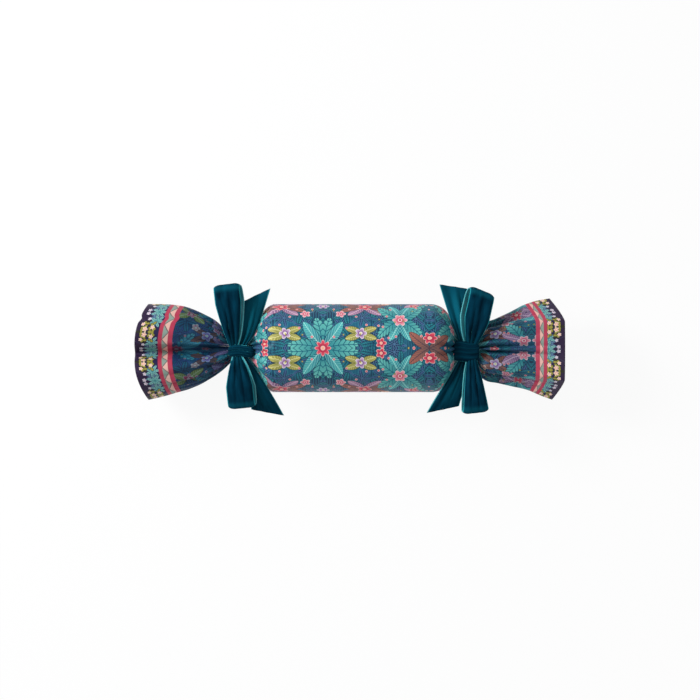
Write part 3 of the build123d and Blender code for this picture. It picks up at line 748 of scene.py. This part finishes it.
def flower(add, local, under, petals, radius, colours):
    """An open flower: pale edges to round petals, which deepen towards a ringed eye."""
    edge, petal, heart, eye = colours
    reach, angle = polar(add, local)
    turn = add("Math.MULTIPLY", [angle, petals / 2])
    cosine = add("Math.COSINE", [turn])
    wave = add("Math.ABSOLUTE", [cosine])
    depth = PETAL_DEPTH * radius
    rim = add("Math.MULTIPLY_ADD", [wave, depth, radius - depth])
    inside = add("Math.SUBTRACT", [rim, reach])
    fill = cover(add, petal, heart, wave, *PETAL_PARTING)
    for paint, (start, full) in zip((heart, edge, eye), FLOWER_RINGS):
        fill = cover(add, fill, paint, reach, start * radius, full * radius)
    layer = cover(add, under, edge, inside, *OUTLINE)
    return cover(add, layer, fill, inside, *PETAL_FILL)


def buds(add, place, under, seed, cell, size, left_out, colours):
    """Small round buds, with some left out."""
    local, chance, _ = scatter(add, place, cell, seed, looseness=0.85)
    reach = add("VectorMath.LENGTH", [local]).outputs["Value"]
    kept = add("Math.GREATER_THAN", [chance, left_out])
    largest = add("Math.MULTIPLY", [kept, size])
    inside = add("Math.SUBTRACT", [largest, reach])
    layer = cover(add, under, colours[0], inside, *BUD_RIM)
    return cover(add, layer, colours[1], inside, *BUD_FILL)


def small_leaves(add, place, under, colours):
    """Clusters of small oval leaves in the outer band."""
    cell, size, slimness = BAND_SMALL_LEAF
    local, _, middle = scatter(add, place, cell, seed=4, looseness=0.8)
    oval = add("VectorMath.MULTIPLY", [local, (slimness, 1.0, 1.0)])
    reach = add("VectorMath.LENGTH", [oval]).outputs["Value"]
    inside = add("Math.SUBTRACT", [size, reach])
    for x, y, radius in BAND_CLUSTERS:
        away = add("VectorMath.DISTANCE", [middle, (x, y, 0)]).outputs["Value"]
        within = add("Math.SUBTRACT", [radius, away])
        drawn = add("Math.MINIMUM", [inside, within])
        under = cover(add, under, colours[0], drawn, *SMALL_LEAF_RIM)
        under = cover(add, under, colours[1], drawn, *SMALL_LEAF_FILL)
    return under


def main_print(add, cloth, mirrors, leaves, flowers, strokes):
    """The all-over print: leaves, flowers and buds on a teal ground, with wavering paler strokes.

    The dye is darker on the ends than on the barrel.
    """
    along, across, _ = add("SeparateXYZ", [cloth]).outputs
    shifted = add("Math.SUBTRACT", [along, mirrors[0]])
    x = add("Math.PINGPONG", [shifted, mirrors[1]])
    y = add("Math.PINGPONG", [across, HALF_TURN])
    place = add("CombineXYZ", [x, y])
    cloud = add("TexNoise", {"Vector": place, "Scale": 0.04, "Detail": 1.0}, noise_dimensions="2D")
    layer = cover(add, "#133856", "#1d627e", cloud, 0.42, 0.6)
    wavering = {"Vector": place, "Scale": 0.15, "Distortion": 7.0, "Detail": 1.5, "Detail Scale": 0.5}
    layer = cover(add, layer, strokes, add("TexWave", wavering).outputs["Fac"], 0.72, 0.95)
    for seed, cell, count, length, width, paint in SCATTERED_LEAVES:
        local, _, _ = scatter(add, place, cell, seed, looseness=0.75)
        layer = leaf(add, around(add, local, count), layer, length, width, PAINTS[paint])
    for x, y, fourfold, degrees, length, width, curl, lobes, paint in leaves:
        local = motif_place(add, place, x, y, degrees, fourfold)
        layer = leaf(add, local, layer, length, width, PAINTS[paint], curl, lobes)
    for x, y, petals, radius, paint in flowers:
        layer = flower(add, motif_place(add, place, x, y), layer, petals, radius, PAINTS[paint])
    for seed, cell, size, left_out, paint in SCATTERED_BUDS:
        layer = buds(add, place, layer, seed, cell, size, left_out, PAINTS[paint])
    dye = "#ffffff"
    for colour, start, full in DYES:
        dye = cover(add, dye, colour, along, start, full)
    dyed = {"Factor": 1.0, 6: layer, 7: dye}
    return add("Mix", dyed, data_type="RGBA", blend_type="MULTIPLY").outputs[2]


def outer_band(add, cloth, hem):
    """The border's outer band: sprigs and buds on a dark purple ground, in place from the hem."""
    across = add("SeparateXYZ", [cloth]).outputs["Y"]
    mirrored = add("Math.PINGPONG", [across, BAND_HALF_REPEAT])
    place = add("CombineXYZ", [hem, mirrored])
    layer = cover(add, "#2b1a3a", "#251f49", hem, 7.0, 10.0)
    for x, y, count, length, width, paint in BAND_LEAVES:
        local = around(add, motif_place(add, place, x, y), count)
        layer = leaf(add, local, layer, length, width, PAINTS[paint])
    layer = small_leaves(add, place, layer, ("#2a2a1e", "#98923f"))
    for x, y, petals, radius, paint in BAND_FLOWERS:
        layer = flower(add, motif_place(add, place, x, y), layer, petals, radius, PAINTS[paint])
    return layer


def barrel_print(add, cloth):
    """The print on the barrel, as far as both chokes."""
    return main_print(add, cloth, BARREL_MIRRORS, BARREL_LEAVES, BARREL_FLOWERS, "#276f88")


def end_print(add, cloth):
    """The print on both ends, from the chokes to the borders."""
    return main_print(add, cloth, END_MIRRORS, END_LEAVES, END_FLOWERS, "#1d5570")


def hem_border(add, cloth):
    """The border, from the hem inwards: the outer band, a red stripe, triangles and another red stripe."""
    across = add("SeparateXYZ", [cloth]).outputs["Y"]
    border = add("Attribute", attribute_name="border").outputs["Fac"]
    hem = add("Attribute", attribute_name="hem").outputs["Fac"]
    in_band = add("Math.SUBTRACT", [border, BORDER_LINES[1]])
    zigzag = add("Math.PINGPONG", [across, TRIANGLE_HALF])
    height = add("Math.DIVIDE", [zigzag, TRIANGLE_HALF])
    over = add("Math.SUBTRACT", [in_band, height])
    near = add("Math.ABSOLUTE", [over])
    triangles = cover(add, "#8a9d92", "#dfb3a6", over, -0.05, 0.05)
    triangles = cover(add, triangles, "#5d4450", near, 0.1, 0.05)
    layer = outer_band(add, cloth, hem)
    for paint, line, blur in zip((STRIPE_RED, triangles, STRIPE_RED), BORDER_LINES, (0.02, 0.04, 0.02)):
        layer = cover(add, layer, paint, border, line - blur, line + blur)
    return layer


def silk_twill(name, draw):
    """Digitally printed silk twill: a soft satin gloss over a fine diagonal weave."""
    material, add = new_material(name)
    cloth = add("UVMap", uv_map="cloth")
    along, across, _ = add("SeparateXYZ", [cloth]).outputs
    colour = draw(add, cloth)

    # The weave is drawn at 0.9 mm, four times as coarse as the real one, so that it shows
    slant = add("Math.ADD", [along, across])
    ribs = add("Math.MULTIPLY", [slant, TURN / 0.9])
    thread = add("Math.SINE", [ribs])
    stretched = add("Mapping", {"Vector": cloth, "Scale": (0.15, 2.2, 1)})
    slub = add("TexNoise", {"Vector": stretched, "Scale": 1.0, "Detail": 2.0})
    weave = add("Math.MULTIPLY_ADD", [thread, 0.25, slub])
    bump = add("Bump", {"Strength": 0.12, "Distance": 0.2 * MM, "Height": weave})
    worn = {"Value": slub, "From Min": 0.3, "From Max": 0.7, "To Min": 0.92, "To Max": 1.06}
    toned = {"Factor": 1.0, 6: colour, 7: add("MapRange", worn)}
    painted = add("Mix", toned, data_type="RGBA", blend_type="MULTIPLY").outputs[2]
    rough = add("MapRange", {"Value": slub, "To Min": 0.44, "To Max": 0.58})
    finish = {"Base Color": painted, "Roughness": rough, "Normal": bump, "Specular IOR Level": 0.28}
    add("OutputMaterial", [add("BsdfPrincipled", finish)])
    return material


def velvet():
    """Rayon velvet ribbon: a deep pile, nearly black head on, that glows turquoise where it turns away."""
    material, add = new_material("rayon velvet")
    cloth = add("UVMap", uv_map="cloth")
    across = add("SeparateXYZ", [cloth]).outputs["Y"]
    stretched = add("Mapping", {"Vector": cloth, "Scale": (0.05, 0.22, 1)})
    brushed = add("TexNoise", {"Vector": stretched, "Scale": 1.0, "Detail": 3.0})
    base = cover(add, "#011a29", "#04374c", brushed, 0.35, 0.7)
    # Painted light, stored on the ribbon's points: a painted highlight at the loops' bends, near the knot,
    # along the tails' folds and on the knot's ridges. The tails on the -Y side get less of it, as painted
    # shade
    painted_light = add("Attribute", attribute_name="painted_light").outputs["Fac"]
    base = cover(add, base, "#0d6478", painted_light, 0.15, 1.3)
    # A pale stripe along each edge: the woven edge, whose pale colour is partly a painted highlight for the
    # pile's sheen where the edge turns away
    from_middle = add("Math.ABSOLUTE", [across])
    base = cover(add, base, "#2a949f", from_middle, 10.1, 10.7)
    pile = add("TexNoise", {"Vector": cloth, "Scale": 2.2, "Detail": 2.0})
    bump = add("Bump", {"Strength": 0.25, "Distance": 0.3 * MM, "Height": pile})
    glow = {"Sheen Weight": 1.0, "Sheen Roughness": 0.22, "Sheen Tint": "#4ec3d2"}
    finish = {"Base Color": base, "Roughness": 0.9, "Normal": bump, "Specular IOR Level": 0.02}
    add("OutputMaterial", [add("BsdfPrincipled", finish | glow)])
    return material


def satin(name, dark, light):
    """The ribbon's woven edge and back: smooth satin, paler than the pile, seen as a thin bright line. Part
    of that paleness is a painted highlight, standing for the pile's sheen where the ribbon turns away.
    """
    material, add = new_material(name)
    cloth = add("UVMap", uv_map="cloth")
    stretched = add("Mapping", {"Vector": cloth, "Scale": (2.0, 0.5, 1)})
    threads = add("TexNoise", {"Vector": stretched, "Scale": 1.0})
    base = add("Mix", {"Factor": threads, 6: dark, 7: light}, data_type="RGBA").outputs[2]
    bump = add("Bump", {"Strength": 0.1, "Distance": 0.1 * MM, "Height": threads})
    finish = {"Base Color": base, "Roughness": 0.4, "Normal": bump, "Sheen Weight": 0.3}
    add("OutputMaterial", [add("BsdfPrincipled", finish)])
    return material


def board(name, dark, light, fibre_width, roughness, fibre_depth):
    """Card or paper: matt, with a cloudy formation and short fibres."""
    material, add = new_material(name)
    grain = fibre_width * MM
    place = add("TexCoord").outputs["Object"]
    cloud = add("TexNoise", {"Vector": place, "Scale": 0.35 / grain, "Detail": 3.0})
    stretched = add("Mapping", {"Vector": place, "Scale": (0.2 / grain, 1 / grain, 1 / grain)})
    fibres = add("TexNoise", {"Vector": stretched, "Scale": 1.0, "Detail": 2.0})
    mixed = add("Math.MULTIPLY", [cloud, fibres])
    base = cover(add, dark, light, mixed, 0.12, 0.4)
    bump = add("Bump", {"Strength": 0.3, "Distance": fibre_depth * MM, "Height": fibres})
    finish = {"Base Color": base, "Roughness": roughness, "Normal": bump, "Specular IOR Level": 0.3}
    add("OutputMaterial", [add("BsdfPrincipled", finish)])
    return material


def white_card():
    """Uncoated white card, with a faint warm tone and short fibres."""
    return board("uncoated white card", "#d9d3c6", "#efebe1", 1.5, 0.75, 0.05)


def gathered_strip(middle, side, up, widths, fade, rolls, seed):
    """A stretch of ribbon round its middle line, pleated as its full width needs at each row, less a fade.

    Its two edges roll down by their own amounts. The seed tells how its pleats wander, and keeps its pile's
    pattern apart from the other stretches'.
    """
    t = np.linspace(-1, 1, RIBBON_COLUMNS)
    random = np.random.default_rng(seed)
    wander = 0.1 * np.sin(3 * t + random.uniform(0, TURN)) + 0.06 * np.sin(7 * t + random.uniform(0, TURN))
    crest = np.abs(np.sin(0.5 * pi * RIBBON_PLEATS * (t + 1 + wander)))
    hidden = np.sqrt(np.maximum(RIBBON_WIDTH**2 - widths**2, 0))
    depth = PLEAT_SHARE * hidden / (2 * RIBBON_PLEATS) * fade
    lift = -depth[:, None] * (1 - crest)
    for roll, outward in zip(rolls, (-t, t)):
        on_edge = np.clip((outward - EDGE_ROLL_START) / (1 - EDGE_ROLL_START), 0, 1)
        lift = lift - roll[:, None] * on_edge**1.6
    sideways = t[None] * widths[:, None] / 2
    points = middle[:, None] + side * sideways[..., None] + up[:, None] * lift[..., None]
    along = lengths_along(middle) / MM + seed * 57.0
    return points, cloth_grid(along[:, None], t[None] * RIBBON_WIDTH / 2 / MM)


def arm_axes(side, degrees):
    """The outward and the sideways direction of a loop or a tail that leaves the knot towards +Y or -Y."""
    lean = radians(degrees)
    return np.array([sin(lean), side * cos(lean), 0]), np.array([cos(lean), -side * sin(lean), 0])


def out_of_knot(away):
    """How fully a loop's or a tail's pleats have risen, from its root on."""
    return np.clip(0.05 + 4 * away, 0, 1)


def arm_middle(root, out, across, profile, reach, shift, rows):
    """A loop's or a tail's middle line and its up directions, from its profile."""
    line = spline([(share * reach, height, sway * shift) for share, height, sway in profile], rows) * MM
    axes = np.stack([out, [0, 0, 1], across])
    middle = np.array([*root, KNOT_HEIGHT]) + line @ axes
    up = np.cross(across[None], np.gradient(middle, axis=0))
    up *= np.sign(np.cross(across, out)[2]) / np.linalg.norm(up, axis=1, keepdims=True)
    return middle, up


def make_loop(root, side, reach, width, lean, opens, rolls, lower_shift, skew, seed):
    """One loop: out over the top, round its far end and back beneath, where it may lie to one side."""
    out, across = arm_axes(side, lean)
    middle, up = arm_middle(root, out, across, LOOP_PROFILE, reach, lower_shift, LOOP_ROWS)
    away = np.clip((middle - middle[0]) @ out / (reach * MM), 0, 1)
    opened = np.clip(away / opens, 0, 1) ** 0.65
    widths = width * MM * (LOOP_ROOT + (1 - LOOP_ROOT) * opened)
    between_ends = np.clip(away * 2.5, 0, 1) * (1 - away**10) * MM
    rolls = [roll * between_ends for roll in rolls]
    fade = np.clip(1.05 - away, 0, 1) * out_of_knot(away)
    points, cloth = gathered_strip(middle, across, up, widths, fade, rolls, seed)
    t = np.linspace(-1, 1, RIBBON_COLUMNS)[None]
    rounded_corners = LOOP_CORNERS * np.abs(t) ** 7 * away[:, None] ** 12
    skewed = skew * MM * t * away[:, None] ** 3
    points -= (rounded_corners + skewed)[..., None] * out
    # Painted highlight: the loop's painted light is strongest round its far bend and near the knot
    at_bend = bell(away, 0.93, 0.05)
    at_knot = 1 - np.clip(away / 0.3, 0, 1)
    painted_light = (0.1 + 0.5 * at_bend + 0.35 * at_knot)[:, None]
    return points[:, ::side], cloth[:, ::side], np.tile(painted_light, RIBBON_COLUMNS)


def make_tail(root, side, long_edge, short_edge, lean, bulge, seed):
    """One tail of a bow, with its end cut on the slant. The long edge is on the barrel's side."""
    to_barrel = -np.sign(root[0])
    out, across = arm_axes(side, lean * to_barrel)
    length = (long_edge + short_edge) / 2
    middle, up = arm_middle(root, out, across, TAIL_PROFILE, length, bulge * to_barrel, TAIL_ROWS)
    away = np.clip((middle - middle[0]) @ out / (length * MM), 0, 1)
    widths = RIBBON_WIDTH * (TAIL_ROOT + (1 - TAIL_ROOT) * away**0.85)
    roll = MM * np.sin(pi * away)
    fade = (1 - 0.5 * away) * out_of_knot(away)
    points, cloth = gathered_strip(middle, across, up, widths, fade, (roll, roll), seed)
    t = np.linspace(-1, 1, RIBBON_COLUMNS)[None]
    along = away[:, None]
    slant = (long_edge - short_edge) / 2 * MM * t * to_barrel * along**3
    fold = TAIL_FOLD * np.sin(pi * along) * bell(t, 0.2, 0.35)
    points += slant[..., None] * out + fold[..., None] * up[:, None]
    # Painted light: a painted highlight along the tail's middle fold, and the tails on the -Y side at half
    # strength, as painted shade
    painted_highlight_middle = np.sin(pi * along) * bell(t, -0.1 * side, 0.45)
    painted_light = (0.5 + 0.55 * painted_highlight_middle) * (0.75 + 0.25 * side)
    return points[:, ::side], cloth[:, ::side], painted_light[:, ::side]


def make_knot(middle, width, seed):
    """The knot: the ribbon's crossing turn, creased along X, as a closed pillow."""
    half_x, half_z = KNOT_HALF_SIZE
    t = np.linspace(-1, 1, KNOT_ROWS)
    angle = np.linspace(0, TURN, KNOT_COLUMNS, endpoint=False)
    fullness = 0.66 + 0.34 * (1 - np.abs(t) ** 3.2) ** 0.5
    fullness[[0, -1]] *= 0.25  # its two ends close in on their middles
    random = np.random.default_rng(seed)
    wide_creases = np.abs(np.sin(2.2 * pi * t + random.uniform(0.3, 1.2))) ** 1.5
    fine_creases = np.abs(np.sin(4.7 * pi * t + random.uniform(0, 2)))
    crease = 0.75 * wide_creases + 0.35 * fine_creases
    thinner_sides = 1 - 0.12 * np.abs(np.cos(angle)) ** 1.6
    boxy = np.sign(np.sin(angle)) * np.abs(np.sin(angle)) ** 0.6
    x = np.cos(angle)[None] * half_x * fullness[:, None]
    y = t[:, None] * width / 2 + KNOT_BEND * np.sin(3 * x / half_x + seed)
    z = (half_z * fullness - KNOT_CREASE * crease)[:, None] * (boxy * thinner_sides)[None]
    points = np.stack([middle[0] + x, middle[1] + y, KNOT_HEIGHT + KNOT_LIFT + z], axis=-1)
    cloth = cloth_grid((angle * KNOT_PILE_TURN)[None] + seed * 31.0, (t * PILE_HALF)[:, None])
    # The third value is painted light: a faint painted highlight on the knot's ridges, fading to nothing in
    # its creases
    return points[:, ::-1], cloth[:, ::-1], 0.35 * (1 - crease[:, None]) + 0 * angle


def make_neck_band(choke_x, seed):
    """The ribbon round the neck, crushed into creases."""
    t = np.linspace(-1, 1, BAND_ROWS)[:, None]
    angle = np.linspace(0, TURN, BAND_COLUMNS, endpoint=False)[None]
    crease = BAND_CREASE * np.abs(np.sin(1.25 * pi * t + 0.4 * np.sin(angle + seed)))
    radius = BAND_RADIUS + BAND_FULLNESS * (1 - np.abs(t) ** 4) - crease
    x = choke_x + t * BAND_HALF_WIDTH + 0 * angle
    points = np.stack([x, radius * np.cos(angle), AXIS + radius * np.sin(angle)], axis=-1)
    return points, cloth_grid(angle * BAND_PILE_TURN + seed * 23.0, t * PILE_HALF), np.zeros(x.shape)


def joined(name, grids):
    """One piece from several grids of points, some of them closed round their columns."""
    pieces = []
    for i, (points, cloth, painted_light, closed) in enumerate(grids):
        pieces.append(grid_mesh(f"{name}_{i}", points, cloth, closed))
        add_float(pieces[-1], "painted_light", painted_light)
    bpy.ops.object.select_all(action="DESELECT")
    for piece in pieces:
        piece.select_set(True)
    bpy.context.view_layer.objects.active = pieces[0]
    bpy.ops.object.join()
    pieces[0].name = pieces[0].data.name = name
    return pieces[0]


def make_ribbon(name, node, choke_x, knot, loops, tails, seed, materials):
    """One velvet ribbon, tied in a bow round a choke."""
    *middle, width = knot
    grids = [(*make_knot(middle, width, seed), True), (*make_neck_band(choke_x, seed), True)]
    for make_arm, arms, first_seed in ((make_loop, loops, 3), (make_tail, tails, 7)):
        for i, (shift, *shape) in enumerate(arms):
            root = (middle[0] + shift * MM, middle[1])
            grids.append((*make_arm(root, *shape, first_seed + i), False))
    piece = joined(name, grids)
    thicken(piece, RIBBON_THICK, offset=0, back_slot=2, rim_slot=1)
    for material in materials:
        piece.data.materials.append(material)
    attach(piece, "cracker")
    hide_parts(node)


def make_ribbons():
    """Both ribbons, of the same velvet."""
    # The satin's pale turquoise colours are partly a painted highlight: they stand for the sheen where the
    # ribbon's edges and loops turn away
    selvedge = satin("rayon satin selvedge", "#1f8a97", "#5ccbd0")
    materials = [velvet(), selvedge, satin("rayon satin back", "#0f7a88", "#2fa5b0")]
    left_bow = (LEFT_KNOT, LEFT_LOOPS, LEFT_TAILS)
    right_bow = (RIGHT_KNOT, RIGHT_LOOPS, RIGHT_TAILS)
    make_ribbon("velvet_bow_left", "left_ribbon", -CHOKE, *left_bow, seed=15, materials=materials)
    make_ribbon("velvet_bow_right", "right_ribbon", CHOKE, *right_bow, seed=16, materials=materials)


def dress_inner_parts():
    """Gives each part inside the cracker the material of the real one."""
    for nodes, *finish in INNER_FINISHES:
        material = board(*finish)
        for node in nodes:
            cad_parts[node].data.materials.clear()
            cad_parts[node].data.materials.append(material)


def make_stage():
    """The floor: a white sweep, whose shadow stays faint in the camera and in what mirrors it."""
    bpy.ops.mesh.primitive_plane_add(size=FLOOR_SIZE)
    floor = bpy.context.object
    floor.name = "floor"
    material, add = new_material("white paper sweep")
    matt = add("BsdfPrincipled", {"Base Color": "#f6f6f6", "Roughness": 0.9, "Specular IOR Level": 0.1})
    white = add("Emission", {"Color": "#ffffff", "Strength": 1.0})
    path = add("LightPath")
    seen = path.outputs["Is Camera Ray"]
    for ray in ("Is Glossy Ray", "Is Transmission Ray"):
        seen = add("Math.MAXIMUM", [seen, path.outputs[ray]])
    share = add("Math.MULTIPLY", [seen, FLOOR_WHITE])
    add("OutputMaterial", [add("MixShader", [share, matt, white])])
    floor.data.materials.append(material)


def add_area_light(name, place, size, power):
    """A soft square lamp aimed at the barrel."""
    lamp = bpy.data.lights.new(name, "AREA")
    lamp.size = size
    lamp.energy = power
    holder = bpy.data.objects.new(name, lamp)
    holder.location = place
    holder.rotation_euler = (Vector((0, 0, AXIS)) - Vector(place)).to_track_quat("-Z", "Y").to_euler()
    bpy.context.scene.collection.objects.link(holder)


def make_lights():
    """Plain soft studio light: a pale room, a lamp from the left and a weak one from the near right."""
    world = bpy.data.worlds.new("studio")
    bpy.context.scene.world = world
    world.use_nodes = True
    world.node_tree.nodes["Background"].inputs["Color"].default_value = hex_colour("#f4f6f8")
    world.node_tree.nodes["Background"].inputs["Strength"].default_value = 0.4
    add_area_light("key", (-1.15, 0.55, 0.95), 0.55, 23.0)
    add_area_light("fill", (0.7, -0.6, 1.3), 1.2, 3.0)


def make_camera():
    """Straight down on the cracker with a long lens."""
    camera = bpy.data.cameras.new("camera")
    camera.lens = LENS
    camera.sensor_width = SENSOR
    holder = bpy.data.objects.new("camera", camera)
    holder.location = (*VIEW_MIDDLE, AXIS + VIEW_WIDTH * LENS / SENSOR)
    bpy.context.scene.collection.objects.link(holder)
    bpy.context.scene.camera = holder


bpy.context.scene.view_settings.view_transform = "Standard"
make_camera()
make_lights()
make_stage()
make_silk_wrap()
make_inner_card()
make_ribbons()
dress_inner_parts()
